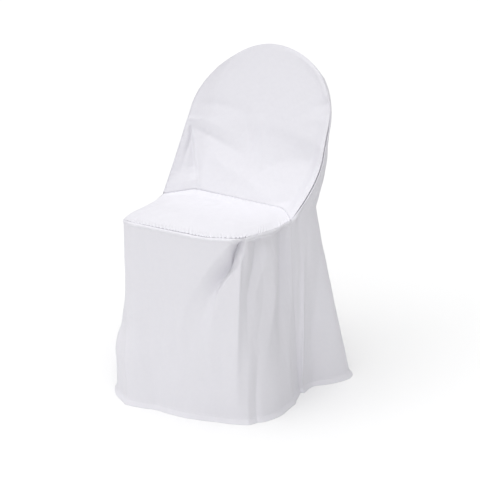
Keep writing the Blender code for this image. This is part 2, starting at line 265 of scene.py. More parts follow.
# Rows and columns, closer together where the seams are gathered and at the hem, which keep each
# panel under 200,000 triangles in both faces of its cloth
SEAT_COLUMNS = (Span(0.0, 1.0, 210),)
SEAT_ROWS = (Span(0.0, 0.06, 14), Span(0.06, 0.90, 86), Span(0.90, 1.0, 26))
INSIDE_COLUMNS = (Span(0.0, 0.03, 12), Span(0.03, 0.97, 184), Span(0.97, 1.0, 14))
INSIDE_ROWS = (Span(0.0, 0.05, 16), Span(0.05, 0.95, 184), Span(0.95, 1.0, 18))
SKIRT_COLUMNS = (Span(0.0, 1.0, 400),)
SKIRT_ROWS = (Span(0.0, 0.06, 22), Span(0.06, 0.96, 78), Span(0.96, 1.0, 15))
OUTSIDE_COLUMNS = (Span(0.0, 0.02, 12), Span(0.02, 0.10, 36), Span(0.10, 0.90, 150),
                   Span(0.90, 0.98, 36), Span(0.98, 1.0, 16))
OUTSIDE_ROWS = (Span(0.0, 0.06, 22), Span(0.06, 0.98, 160), Span(0.98, 1.0, 15))

# A fold is a line of stations (u, v, depth, west, east, round): its place as shares of the panel's
# width and height, and in mm its depth, out where positive, how far it fades on its west and east
# sides, and the roundness of its crest. West is the left of a line that runs down the panel, and
# the lower side of one that runs to the right.


def alike(west, east, crest, *stations):
    """A fold whose flanks and crest stay the same from end to end."""
    return tuple((u, v, depth, west, east, crest) for u, v, depth in stations)


def crease(from_u, from_v, to_u, to_v, depth, reach):
    """A straight fold, the same on both sides, that is round at its crest."""
    return alike(reach / 2.0, reach / 2.0, reach, (from_u, from_v, depth), (to_u, to_v, depth))


# The drag fold that runs down and in from the seat's right corner, sharp on its lower side
DRAG_FOLD = (
    ((0.742, 0.012, -12, 24, 2, 1), (0.735, 0.050, -26, 34, 2.5, 1), (0.722, 0.092, -32, 42, 2.5, 1),
     (0.700, 0.146, -34, 44, 3, 1), (0.660, 0.205, -30, 42, 4, 1), (0.626, 0.274, -21, 40, 8, 3),
     (0.596, 0.345, -12, 40, 18, 6), (0.566, 0.450, -5, 40, 30, 10), (0.545, 0.600, 0, 40, 40, 10)),
)
# The right side's flat-flanked folds: two hollows and the light crest between them
SIDE_FOLDS = (
    ((0.812, 0.050, -10, 40, 28, 4), (0.808, 0.100, -13, 40, 28, 3), (0.794, 0.160, -13, 34, 26, 3),
     (0.774, 0.221, -10, 27, 25, 3), (0.752, 0.290, -6, 22, 26, 3), (0.742, 0.420, -4, 18, 24, 4),
     (0.740, 0.560, -2, 18, 24, 5), (0.740, 0.640, 0, 18, 24, 6)),
    ((0.868, 0.070, 0, 32, 34, 4), (0.868, 0.140, 7, 32, 34, 3), (0.866, 0.317, 9, 32, 34, 3),
     (0.852, 0.414, 8, 32, 34, 3), (0.836, 0.500, 6, 30, 34, 4), (0.816, 0.640, 2, 30, 32, 5),
     (0.800, 0.780, 0, 30, 32, 6)),
    ((0.957, 0.040, -12, 50, 32, 3), (0.960, 0.135, -21, 52, 34, 2), (0.957, 0.221, -22, 52, 36, 2),
     (0.948, 0.296, -20, 52, 38, 3), (0.931, 0.392, -16, 50, 42, 4), (0.911, 0.499, -11, 50, 44, 5),
     (0.888, 0.640, -5, 44, 40, 7), (0.866, 0.790, 0, 40, 40, 8)),
)
SKIRT_FOLDS = (
    # The crest at the right corner
    ((0.730, 0.050, 0, 7, 7, 1), (0.722, 0.110, 4, 6, 7, 1), (0.715, 0.180, 8, 9, 7, 1),
     (0.709, 0.317, 9, 12, 7, 1), (0.704, 0.478, 8, 12, 8, 1.5), (0.699, 0.639, 6, 13, 9, 3),
     (0.694, 0.780, 3, 13, 10, 6), (0.691, 0.900, 0, 13, 12, 8)),
    # The right side, drawn in under the seat's seam, and its slight falls lower down
    ((0.750, 0.040, 0, 26, 12, 10), (0.800, 0.044, -4, 28, 12, 10), (0.880, 0.046, -6, 30, 12, 10),
     (0.950, 0.046, -4, 28, 12, 10), (0.985, 0.046, 0, 26, 12, 10)),
    alike(12, 12, 6, (0.795, 0.560, 0), (0.780, 0.700, -5), (0.768, 0.860, -6), (0.765, 1.000, -6)),
    alike(8, 8, 4, (0.735, 0.640, 0), (0.730, 0.820, 2), (0.728, 1.000, 3)),
    alike(12, 12, 6, (0.925, 0.620, 0), (0.920, 0.820, 4), (0.918, 1.000, 5)),
    # The front: a shallow hollow left of the middle, and a slight crest below it
    ((0.372, 0.160, 0, 26, 26, 16), (0.366, 0.400, -1.5, 26, 26, 16), (0.355, 1.000, -3, 28, 28, 16)),
    alike(34, 34, 20, (0.500, 0.560, 0), (0.490, 1.000, 2.5)),
    # The left corner's edge and the lobe that stands out beside it at the hem
    ((0.250, 0.060, 0, 8, 8, 3), (0.256, 0.200, 2, 8, 8, 3), (0.262, 0.453, 3, 8, 8, 3),
     (0.268, 0.700, 5, 8, 8, 2), (0.274, 0.977, 6, 8, 8, 2), (0.275, 1.000, 6, 8, 8, 2)),
    crease(0.190, 0.560, 0.190, 0.660, 14, 40),
    crease(0.185, 0.780, 0.190, 1.100, 40, 60),
    crease(0.246, 0.560, 0.250, 0.960, -5, 16),
    # The left side, which turns away from the front
    crease(0.095, 0.300, 0.090, 1.000, -10, 22),
    crease(0.040, 0.150, 0.045, 1.000, 8, 20),
)
OUTSIDE_FOLDS = (
    # The right side, beside the seam with the front skirt
    ((0.900, 0.560, 0, 12, 10, 5), (0.912, 0.620, 5, 12, 9, 4), (0.931, 0.727, 8, 11, 8, 4),
     (0.950, 0.817, 10, 11, 8, 4), (0.985, 0.957, 11, 11, 8, 4), (0.988, 1.000, 11, 11, 8, 4)),
    alike(16, 16, 12, (0.800, 0.600, -4), (0.867, 0.807, -9), (0.885, 1.000, -9)),
    alike(10, 10, 5, (0.842, 0.500, 0), (0.846, 0.540, 3), (0.861, 0.597, 3), (0.870, 0.660, 0)),
    ((0.926, 0.490, -2, 14, 12, 8), (0.928, 0.613, -3, 14, 12, 8), (0.945, 0.720, -3, 12, 12, 8),
     (0.960, 0.800, 0, 12, 12, 8)),
    # The light streak down the side of the back, and the roll at the web's foot
    ((0.900, 0.300, 0, 8, 8, 4), (0.880, 0.370, 3, 8, 8, 3), (0.866, 0.430, 3, 8, 8, 3),
     (0.860, 0.480, 0, 8, 8, 4)),
    alike(6, 6, 2, (0.960, 0.462, 0), (0.975, 0.478, 4), (1.000, 0.484, 4)),
    # The rear, hanging in broad folds from the seat's level
    crease(0.030, 0.560, 0.040, 0.960, 10, 22),
    crease(0.100, 0.600, 0.090, 0.980, -10, 32),
    crease(0.270, 0.480, 0.285, 1.000, -14, 36),
    crease(0.370, 0.400, 0.390, 1.000, 12, 34),
    crease(0.470, 0.500, 0.480, 1.000, -11, 36),
    crease(0.570, 0.360, 0.565, 1.000, 10, 36),
    crease(0.660, 0.460, 0.680, 1.000, -13, 40),
    crease(0.240, 0.160, 0.640, 0.300, -6, 30),
)
INSIDE_FOLDS = (
    # Drag lines from the left pucker across the back
    ((0.040, 0.350, 0, 9, 7, 4), (0.090, 0.365, -2, 12, 8, 5), (0.147, 0.387, -3, 14, 9, 6),
     (0.227, 0.410, -2.5, 14, 10, 7), (0.310, 0.443, -1.5, 14, 10, 7), (0.420, 0.470, 0, 14, 10, 7)),
    ((0.030, 0.500, 0, 8, 6, 3), (0.062, 0.534, -3, 10, 6, 3), (0.120, 0.593, -4, 12, 7, 4),
     (0.214, 0.652, -3.5, 15, 9, 5), (0.333, 0.701, -2.5, 16, 11, 7), (0.480, 0.750, 0, 16, 12, 8)),
    ((0.040, 0.445, 0, 10, 10, 5), (0.120, 0.500, 2, 10, 10, 5), (0.210, 0.560, 2, 12, 12, 6),
     (0.330, 0.610, 0, 12, 12, 6)),
    ((0.150, 0.690, 0, 12, 12, 6), (0.210, 0.770, 2, 13, 13, 7), (0.330, 0.840, 2.5, 14, 14, 8),
     (0.670, 0.910, 2.5, 14, 14, 8), (0.790, 0.960, 1.5, 14, 14, 8)),
    ((0.380, 0.440, 0, 8, 8, 4), (0.388, 0.510, -1.5, 8, 8, 4), (0.437, 0.643, -1.5, 9, 9, 4),
     (0.460, 0.740, 0, 9, 9, 4)),
    alike(10, 10, 5, (0.480, 0.460, 0), (0.500, 0.550, 2), (0.573, 0.690, 2), (0.610, 0.790, 0)),
    # The right half: a broad hollow above the seat and a pinch at the pucker
    alike(20, 18, 12, (0.620, 0.770, 0), (0.713, 0.727, -3.5), (0.867, 0.640, -3.5), (0.940, 0.590, 0)),
    alike(9, 9, 4, (0.800, 0.345, 0), (0.860, 0.300, -1.5), (0.960, 0.220, -3), (1.000, 0.193, -3)),
    alike(12, 12, 6, (0.780, 0.430, 0), (0.860, 0.390, 1.5), (0.980, 0.320, 2)),
    alike(14, 16, 8, (0.600, 0.010, 1.5), (0.877, 0.060, 2.5), (0.950, 0.163, 2)),
    alike(10, 10, 4, (0.930, 0.820, 0), (0.890, 0.930, -3), (0.843, 1.000, -3)),
    ((0.952, 0.380, 0, 5, 5, 2), (0.960, 0.500, 2.5, 6, 4, 2), (0.960, 0.750, 3, 7, 4, 2),
     (0.955, 0.900, 2, 7, 4, 2), (0.950, 0.970, 0, 7, 4, 2)),
    # The left web: a slit under the pucker's knot that opens to a hollow with two edges
    ((0.006, 0.450, 2, 3, 5, 1), (0.020, 0.452, 4, 4, 4, 1), (0.050, 0.470, 2, 5, 5, 2),
     (0.090, 0.490, 0, 6, 6, 3)),
    ((0.036, 0.515, -3, 2.5, 2.5, 1), (0.046, 0.560, -8, 2.5, 2.5, 1), (0.050, 0.617, -7, 2.5, 3.5, 1),
     (0.048, 0.701, -3, 3, 6, 1), (0.046, 0.784, -1.5, 3, 8, 1), (0.046, 0.847, -1, 4, 10, 2),
     (0.048, 0.920, 0, 8, 11, 4)),
    ((0.052, 0.580, -3, 3, 2, 1), (0.070, 0.650, -8, 7, 2, 1), (0.084, 0.715, -10, 11, 2, 1),
     (0.102, 0.818, -10, 16, 2, 1), (0.110, 0.872, -6, 16, 3, 2), (0.114, 0.930, 0, 14, 4, 3)),
    # The pressed double edge that runs down to the seat beside the hollow
    alike(2, 2.5, 1, (0.070, 0.620, 0), (0.089, 0.720, 2.5), (0.104, 0.803, 3), (0.120, 0.896, 2.5),
          (0.130, 0.960, 0)),
    ((0.080, 0.650, 0, 2, 4, 1), (0.099, 0.720, 2, 1.5, 5, 1), (0.116, 0.803, 3.5, 1.5, 6, 1),
     (0.132, 0.896, 3.5, 1.5, 7, 1), (0.146, 0.970, 2, 2, 7, 1)),
)
SEAT_FOLDS = (
    # A slight drag towards the left pucker, and a soft crest before it
    crease(0.100, 0.100, 0.520, 0.160, -4, 18),
    crease(0.200, 0.620, 0.460, 0.720, 3, 30),
)


def smooth_step(t):
    """3t^2 - 2t^3 between 0 and 1: an S curve."""
    t = np.clip(t, 0.0, 1.0)
    return t * t * (3.0 - 2.0 * t)


def risen(share, rise):
    """The smooth step of (share - start) / width."""
    return smooth_step((share - rise.start) / rise.width)


def rounded(away, reach):
    """exp(-(d / reach)^2): a ridge with a round top."""
    return np.exp(-((away / reach) ** 2))


def spans(parts):
    """The places of rows or columns, in equal steps within each span."""
    steps = [np.linspace(part.start, part.end, part.steps + 1)[1:] for part in parts]
    return np.concatenate([[parts[0].start], *steps])


def through(known, values, at):
    """Cubic Hermite curve through the values, its slope at each the mean of those beside it."""
    known, values = np.asarray(known, float), np.asarray(values, float)
    slope = np.gradient(values, known, axis=0)
    index = np.clip(np.searchsorted(known, at) - 1, 0, len(known) - 2)
    width = known[index + 1] - known[index]
    t = (at - known[index]) / width
    if values.ndim > 1:
        width, t = width[:, None], t[:, None]
    start = (1 + 2 * t) * (1 - t) ** 2 * values[index] + t * (1 - t) ** 2 * width * slope[index]
    end = (3 - 2 * t) * t**2 * values[index + 1] - (1 - t) * t**2 * width * slope[index + 1]
    return start + end


def plan_curve(falls, shares, x, y):
    """The plan curve through two columns of a table, at these shares."""
    known = [fall.share for fall in falls]
    return through(known, [(getattr(fall, x), getattr(fall, y)) for fall in falls], shares)


def resampled(points, shares):
    """Points at these shares of a polyline's length."""
    steps = np.linalg.norm(np.diff(points, axis=0), axis=1)
    length = np.concatenate([[0.0], np.cumsum(steps)])
    return np.stack([np.interp(shares, length / length[-1], axis) for axis in points.T], axis=-1)


def softened(points, count):
    """A polyline with its bends averaged over count points, its ends kept."""
    kernel = np.ones(count) / count
    inner = np.stack([np.convolve(axis, kernel, mode="valid") for axis in points.T], axis=-1)
    return np.concatenate([points[:1], inner, points[-1:]])


def edge_share(u, side_share):
    """Share of an edge's length at place u across a panel, where the side columns take theirs."""
    known = [0.0, SIDE_WIDTH, 1.0 - SIDE_WIDTH, 1.0]
    return through(known, [0.0, side_share, 1.0 - side_share, 1.0], u)


def lean(z):
    """How far back the plane of the chair back lies at height z."""
    return BACK_FOOT_Y + BACK_LEAN * (z - SEAT_HEIGHT)


def arch(degrees):
    """Points of a circle in the leaning plane, at these angles, slack by sin^2(2a) at upper left."""
    angle = np.radians(degrees)
    radius = ARCH_RADIUS - ARCH_SLACK * np.where(np.cos(angle) < 0.0, np.sin(2.0 * angle) ** 2, 0.0)
    x = ARCH_MIDDLE + radius * np.cos(angle)
    z = ARCH_CENTRE_HEIGHT + radius / np.hypot(1.0, BACK_LEAN) * np.sin(angle)
    return np.stack([x, lean(z), z], axis=-1)


def arch_top(shares):
    """The seam over the top, in equal angles from the left shoulder to the right one."""
    return arch(180.0 - SHOULDER_ANGLE - (180.0 - 2.0 * SHOULDER_ANGLE) * shares)


def web_foot(side):
    """Where a web comes down on the seat's side and all four panels meet."""
    foot = SKIRT[0] if side < 0 else SKIRT[-1]
    return np.array([foot.top_x, foot.top_y, SEAT_HEIGHT])


def side_seam(side, shares):
    """From a shoulder down the round top to the pucker, then bowed as 4t(1 - t) to the foot."""
    angles = np.linspace(SHOULDER_ANGLE, 0.0, SHOULDER_POINTS)
    shoulder = arch(180.0 - angles if side < 0 else angles)
    x, z = PUCKER_LEFT if side < 0 else PUCKER_RIGHT
    pucker = np.array([x, lean(z), z])
    t = np.linspace(0.0, 1.0, WEB_POINTS)[:, None]
    bow = WEB_BOW_LEFT if side < 0 else WEB_BOW_RIGHT
    bow = np.array([WEB_BOW_SIDEWAYS * side, 1.0, 0.0]) * bow
    web = pucker + (web_foot(side) - pucker) * t + bow * 4.0 * t * (1.0 - t)
    dense = resampled(np.concatenate([shoulder, web]), np.linspace(0.0, 1.0, SEAM_POINTS))
    return resampled(softened(dense, SEAM_BEND), shares)


def junction(shares):
    """The seam of seat and back: along the wall, rounded where it comes forward to the feet."""
    wall = np.array([[-WALL_HALF, WALL_LEFT_Y], [WALL_HALF, WALL_RIGHT_Y]])
    corners = np.concatenate([[web_foot(-1)[:2]], wall, [web_foot(1)[:2]]])
    dense = resampled(corners, np.linspace(0.0, 1.0, WALL_POINTS))
    plan = resampled(softened(dense, WALL_BEND), shares)
    from_foot = np.minimum(shares, 1.0 - shares) / WEB_JUNCTION_SHARE
    z = SEAT_HEIGHT + WALL_RISE * smooth_step(from_foot)
    return np.concatenate([plan, z[:, None]], axis=1)


def seat_edge_height(shares):
    """Level at the sides, higher along the front and highest at a bell on the right front corner."""
    front = risen(shares, FRONT_STARTS) * risen(shares, FRONT_ENDS)
    corner = rounded(shares - CORNER_PLACE, CORNER_REACH)
    return SEAT_HEIGHT + FRONT_RISE * front + CORNER_RISE * corner


def seat_edge(shares):
    """The seat's outline, which is also the top of the front skirt."""
    plan = plan_curve(SKIRT, shares, "top_x", "top_y")
    return np.concatenate([plan, seat_edge_height(shares)[:, None]], axis=1)


def stretched(top, bottom, left, right, u, v):
    """A Coons patch: the two ruled surfaces between opposite edges, less the one they share."""
    u, v = u[None, :, None], v[:, None, None]
    sheet = top * (1 - v) + bottom * v + left[:, None] * (1 - u) + right[:, None] * u
    sheet -= (top[0] * (1 - u) + top[-1] * u) * (1 - v)
    sheet -= (bottom[0] * (1 - u) + bottom[-1] * u) * v
    return sheet


def outward_normals(sheet, out):
    """Unit normals of a grid of points, turned by out, which is 1 or -1, to face out."""
    normal = np.cross(np.gradient(sheet, axis=1), np.gradient(sheet, axis=0))
    return out * normal / np.linalg.norm(normal, axis=-1, keepdims=True)


def edge_distances(sheet):
    """Each point's distance along the cloth from the left, right, top and bottom edges."""
    across = np.linalg.norm(np.diff(sheet, axis=1), axis=-1)
    down = np.linalg.norm(np.diff(sheet, axis=0), axis=-1)
    left = np.concatenate([np.zeros((len(sheet), 1)), np.cumsum(across, axis=1)], axis=1)
    top = np.concatenate([np.zeros((1, sheet.shape[1])), np.cumsum(down, axis=0)], axis=0)
    return left, left[:, -1:] - left, top, top[-1:] - top


def soft_flank(away):
    """exp(-x): a fold that fades slowly."""
    return np.exp(-away)


def flat_flank(away):
    """(1 - x)^1.2, down to 0 at x = 1: a fold with flat flanks."""
    return np.clip(1.0 - away, 0.0, 1.0) ** FLAT_FLANK_POWER


def folded(place, folds, fade=soft_flank):
    """The sum over the folds of depth times fade((sqrt(d^2 + r^2) - r) / w).

    d is the distance from the fold's line, r its roundness and w its reach on that side, all
    worked out between the two nearest stations.
    """
    move = np.zeros(place.shape[:2])
    for fold in folds:
        least = np.full(move.shape, np.inf)
        height = np.zeros(move.shape)
        for start, end in zip(fold[:-1], fold[1:]):
            a, b = np.array(start), np.array(end)
            line = b[:2] - a[:2]
            off = place - a[:2]
            t = np.clip(off @ line / (line @ line), 0.0, 1.0)
            off = off - t[..., None] * line
            away = np.linalg.norm(off, axis=-1)
            depth, west, east, crest = np.moveaxis(a + t[..., None] * (b - a), -1, 0)[2:]
            on_west = line[0] * off[..., 1] - line[1] * off[..., 0] > 0.0
            reach = np.where(on_west, west, east)
            rise = depth * fade((np.hypot(away, crest) - crest) / reach)
            height = np.where(away < least, rise, height)
            least = np.minimum(least, away)
        move += height
    return move


def waves(place, seed, ripples):
    """A sum of sines of equal height across the cloth, with lengths, slants and starts at random."""
    random = np.random.default_rng(seed)
    length = random.uniform(ripples.short, ripples.long, ripples.count)
    angle = random.normal(0.0, ripples.slant, ripples.count)
    phase = random.uniform(0.0, 2.0 * np.pi, ripples.count)
    total = np.zeros(place.shape[:2])
    for number, turn, start in zip(2.0 * np.pi / length, angle, phase):
        run = place[..., 0] * np.cos(turn) + place[..., 1] * np.sin(turn)
        total += np.sin(number * run + start)
    return total / np.sqrt(ripples.count / 2.0)


def gathers(along, away, seam):
    """Puckers across a seam: a sine of uneven spacing and height along it, times exp(-d / reach).

    It is also times 1 - exp(-d / hold), which brings it down to nothing at the seam itself.
    """
    random = np.random.default_rng(seam.seed)
    knots = np.arange(0.0, along.max() + 2.0 * KNOT_SPACING, KNOT_SPACING)
    steps = random.uniform(*KNOT_STEPS, len(knots))
    phase = np.cumsum(steps) * KNOT_SPACING / seam.spacing * 2.0 * np.pi
    height = random.uniform(*KNOT_HEIGHTS, len(knots))
    ridges = np.sin(np.interp(along, knots, phase)) * np.interp(along, knots, height)
    return seam.height * (ridges * np.exp(-away / seam.reach) * (1.0 - np.exp(-away / GATHER_HOLD)))


def toward(points, centre):
    """Unit directions from each point to a centre."""
    line = np.asarray(centre) - points
    return line / np.linalg.norm(line, axis=-1, keepdims=True)


def nearest(*distances):
    """The least of these distances at each point."""
    return np.minimum.reduce(distances)


def tucked(sheet, away, direction, depth, reach):
    """The sheet rolled in at a seam: depth times (1 - d/reach)^2 along the seam's own direction."""
    fall = np.clip(1.0 - away / reach, 0.0, 1.0) ** 2
    return sheet + direction * (depth * fall)[..., None]


def inside_back_base(u, v):
    """Stretched between the round top, both side seams and the junction, and hollowed a little."""
    sheet = stretched(arch_top(edge_share(u, SHOULDER_SHARE)), junction(edge_share(u, WEB_JUNCTION_SHARE)),
                      side_seam(-1, v), side_seam(1, v), u, v)
    sheet[..., 1] += BACK_HOLLOW * np.sin(np.pi * v)[:, None] * np.sin(np.pi * u)[None]
    return sheet


def seat_front(u):
    """Share of the seat's outline at place u along its front, between the two corners' shares."""
    return CORNER_SHARE + (1.0 - 2.0 * CORNER_SHARE) * edge_share(u, FRONT_CORNER_SHARE)


def seat_base(u, v):
    """Stretched between the junction, the two sides and the front, and slightly crowned."""
    side = CORNER_SHARE * v
    sheet = stretched(junction(edge_share(u, WEB_JUNCTION_SHARE)), seat_edge(seat_front(u)),
                      seat_edge(side), seat_edge(1.0 - side), u, v)
    sheet[..., 2] += SEAT_CROWN * np.sin(np.pi * v)[:, None] * np.sin(np.pi * u)[None]
    return sheet


def hung(falls, shares, drop, power, top_z):
    """Cloth that falls from the table's upper plan curve, at these heights, and out as drop^power."""
    flare = (drop[:, None] ** power)[..., None]
    top = plan_curve(falls, shares, "top_x", "top_y")
    hem = plan_curve(falls, shares, "hem_x", "hem_y")
    plan = top[None] * (1.0 - flare) + hem[None] * flare
    height = top_z * (1.0 - drop[:, None])
    return np.concatenate([plan, height[..., None]], axis=-1)


def outside_back_base(u, v):
    """Rolls back over the frame from the round top, falls to the seat and flares to the hem.

    The roll is depth times (1 - exp(-d/roll)), where d is the distance from the nearest seam.
    """
    shares = edge_share(u, BACK_SIDE_SHARE)
    upper_v = np.append((v[v < UPPER_PART] / UPPER_PART) ** UPPER_ROW_POWER, 1.0)
    drop = (v[v >= UPPER_PART] - UPPER_PART) / (1.0 - UPPER_PART)
    from_side = smooth_step(np.minimum(shares, 1.0 - shares) / REAR_FLARE_SHARE)
    power = FLARE_POWER + (REAR_FLARE_POWER - FLARE_POWER) * from_side
    lower = hung(BACK, shares, np.append(0.0, drop), power, np.full(len(shares), SEAT_HEIGHT))
    top = arch_top(edge_share(u, SHOULDER_SHARE))
    upper = stretched(top, lower[0], side_seam(-1, upper_v), side_seam(1, upper_v), u, upper_v)
    left, right, above = (np.linalg.norm(upper - edge, axis=-1)
                          for edge in (upper[:, :1], upper[:, -1:], upper[:1]))
    fallen = nearest(left, right, above)
    rolled = FRAME_DEPTH * (1.0 - np.exp(-fallen / FRAME_ROLL)) * (1.0 - upper_v**2)[:, None]
    behind = np.array([0.0, 1.0, -BACK_LEAN]) / np.hypot(1.0, BACK_LEAN)
    upper += behind * rolled[..., None]
    return np.concatenate([upper[:-1], lower[1:]])


def places(sheet, u, v):
    """Each point's place on the cut cloth in metres, from the panel's mean width and height."""
    width = np.linalg.norm(np.diff(sheet, axis=1), axis=-1).sum(axis=1).mean()
    height = np.linalg.norm(np.diff(sheet, axis=0), axis=-1).sum(axis=0).mean()
    return np.stack(np.broadcast_arrays(u[None] * width, v[:, None] * height), axis=-1)


def in_metres(folds, place):
    """The folds with their places on the cloth and their sizes in metres."""
    scale = np.array([place[..., 0].max(), place[..., 1].max()] + 4 * [MILLIMETRE])
    return [np.array(fold) * scale for fold in folds]


def lifted(sheet, move, out):
    """The sheet moved along its outward normals."""
    return sheet + outward_normals(sheet, out) * move[..., None]


def hem_band(above_hem):
    """Doubled cloth stands proud up to the hem's top, and flares out as (1 - d / width)^1.5.

    A round dip is taken off it where the topstitch presses it in.
    """
    band = smooth_step((HEM_WIDTH + HEM_SOFTNESS - above_hem) / HEM_SOFTNESS)
    pressed = rounded(above_hem - STITCH_HEIGHT, STITCH_DIP_REACH)
    flare = np.clip(1.0 - above_hem / HEM_WIDTH, 0.0, 1.0)
    return HEM_PROUD * (band - STITCH_DIP * pressed) + HEM_FLARE * flare**HEM_FLARE_POWER


def panel(base, u, v, folds, out, seed, free_hem, slight=SLIGHT_WAVES, flat_folds=()):
    """A panel's folds and waves, times a smooth step that holds them down near its seams.

    Returns the panel and its distances from its edges.
    """
    left, right, top, bottom = edge_distances(base)
    place = places(base, u, v)
    held = nearest(left, right, top) if free_hem else nearest(left, right, top, bottom)
    move = folded(place, in_metres(folds, place))
    move += folded(place, in_metres(flat_folds, place), flat_flank)
    move += slight * waves(place, seed, SLIGHT_RIPPLES)
    move += FINE_WAVES * waves(place, seed + 1, FINE_RIPPLES)
    move *= smooth_step(held / SEAM_HOLD)
    if free_hem:
        move += hem_band(bottom)
    sheet = lifted(base, move, out)
    if free_hem:
        sheet[-1, :, 2] = base[-1, :, 2]
    return sheet, (left, right, top, bottom)


def rim_tuck(share):
    """Depth of the back's outer seam, from the round top at share 0 down its sides to the feet at 1."""
    return ARCH_TUCK + (TUCK_DEPTH - ARCH_TUCK) * risen(share, RIM_DEEPENS)[:, None]


def web_groove(share):
    """How much deeper the right web's seam lies between the pucker and the foot."""
    return GROOVE_DEPTH * (risen(share, GROOVE_OPENS) * risen(share, GROOVE_CLOSES))[:, None]


def rim_direction(base, u, share):
    """Into the pocket at the back's outer seam, and between the panels at the right web."""
    web = (risen(share, GROOVE_TURNS)[:, None] * (u > 0.5)[None])[..., None]
    return toward(base, POCKET_CENTRE) * (1.0 - web) + GROOVE_TUCK * web


def junction_tuck(u):
    """Depth of the seam of seat and back, deeper under the left web."""
    return (JUNCTION_TUCK + LEFT_WEB_TUCK * risen(u, LEFT_WEB))[None]


def seat_tuck(share):
    """Depth of the seam round the seat's edge, shallower along the gathered right side."""
    return SEAT_TUCK * (1.0 - SEAT_TUCK_EASE * risen(share, SEAT_RIGHT_SIDE))


def inside_back_sheet():
    """The inside back with its webs: gathered along the junction and both webs."""
    u, v = spans(INSIDE_COLUMNS), spans(INSIDE_ROWS)
    base = inside_back_base(u, v)
    sheet, (left, right, top, bottom) = panel(base, u, v, INSIDE_FOLDS, FRONT_FACING, seed=11,
                                            free_hem=False, slight=BACK_WAVES)
    web = risen(v, WEB_STARTS)[:, None]
    pull = gathers(left, bottom, BACK_FOOT_GATHERS)
    pull += web * gathers(top, left, LEFT_WEB_GATHERS)
    pull += (ABOVE_WEB + (1.0 - ABOVE_WEB) * web) * gathers(top, right, RIGHT_WEB_GATHERS)
    pull += gathers(left, top, BACK_TOP_GATHERS)
    sheet = lifted(sheet, pull, FRONT_FACING)
    rim = nearest(left, right, top)
    inward = rim_direction(base, u, v)
    sheet = tucked(sheet, rim, inward, rim_tuck(v), TUCK_REACH)
    sheet = tucked(sheet, right, inward, web_groove(v), GROOVE_REACH)
    return tucked(sheet, bottom, WALL_TUCK, junction_tuck(u), TUCK_REACH)


def seat_sheet():
    """The seat: gathered along its front seam, its sides and the junction."""
    u, v = spans(SEAT_COLUMNS), spans(SEAT_ROWS)
    base = seat_base(u, v)
    sheet, (left, right, top, bottom) = panel(base, u, v, SEAT_FOLDS, FRONT_FACING, seed=31,
                                            free_hem=False)
    tighter = 1.0 + SEAT_TIGHTER_GAIN * risen(u, SEAT_TIGHTER)[None]
    pull = tighter * gathers(left, bottom, SEAT_FRONT_GATHERS)
    pull += gathers(top, right, SEAT_RIGHT_GATHERS)
    pull += gathers(top, left, SEAT_LEFT_GATHERS)
    pull += gathers(left, top, SEAT_REAR_GATHERS)
    sheet = lifted(sheet, pull, FRONT_FACING)
    sides = nearest(left, right)
    side = CORNER_SHARE * v[:, None]
    side = np.where(u[None] > 0.5, 1.0 - side, side)
    share = np.where(sides < bottom, side, seat_front(u)[None])
    rim = nearest(sides, bottom)
    sheet = tucked(sheet, rim, toward(base, SEAT_CENTRE), seat_tuck(share), SEAT_TUCK_REACH)
    return tucked(sheet, top, WALL_TUCK, junction_tuck(u), TUCK_REACH)


def front_skirt_sheet():
    """The front skirt: eased into the seat's seam above, over a piped edge, and hemmed below."""
    u, v = spans(SKIRT_COLUMNS), spans(SKIRT_ROWS)
    base = hung(SKIRT, u, v, FLARE_POWER, seat_edge_height(u))
    sheet, (left, right, top, _) = panel(base, u, v, SKIRT_FOLDS, FRONT_FACING, seed=51,
                                       free_hem=True, flat_folds=DRAG_FOLD + SIDE_FOLDS)
    tighter = 1.0 + SKIRT_TIGHTER_GAIN * risen(u, SKIRT_TIGHTER)[None]
    pull = tighter * gathers(left, top, SKIRT_GATHERS)
    piping = PIPING_PROUD * rounded(top - PIPING_BELOW, PIPING_REACH)
    pull += piping * smooth_step(nearest(left, right) / SEAM_HOLD)
    sheet = lifted(sheet, pull, FRONT_FACING)
    return tucked(sheet, top, toward(base, SEAT_CENTRE), seat_tuck(u)[None], SEAT_TUCK_REACH)


def outside_back_sheet():
    """The outside back: tucked in over the top, falling to the hem behind."""
    u, v = spans(OUTSIDE_COLUMNS), spans(OUTSIDE_ROWS)
    base = outside_back_base(u, v)
    sheet, (left, right, top, _) = panel(base, u, v, OUTSIDE_FOLDS, REAR_FACING, seed=71, free_hem=True)
    upper = (v < UPPER_PART)[:, None]
    share = np.clip(v / UPPER_PART, 0.0, 1.0) ** UPPER_ROW_POWER
    pull = gathers(left, top, OUTSIDE_TOP_GATHERS)
    pull += upper * gathers(top, nearest(left, right), OUTSIDE_SIDE_GATHERS)
    sheet = lifted(sheet, pull, REAR_FACING)
    rim = nearest(left, right, top)
    inward = rim_direction(base, u, share) * upper[..., None]
    sheet = tucked(sheet, rim, inward, rim_tuck(share), TUCK_REACH)
    return tucked(sheet, right, inward, web_groove(share), GROOVE_REACH)


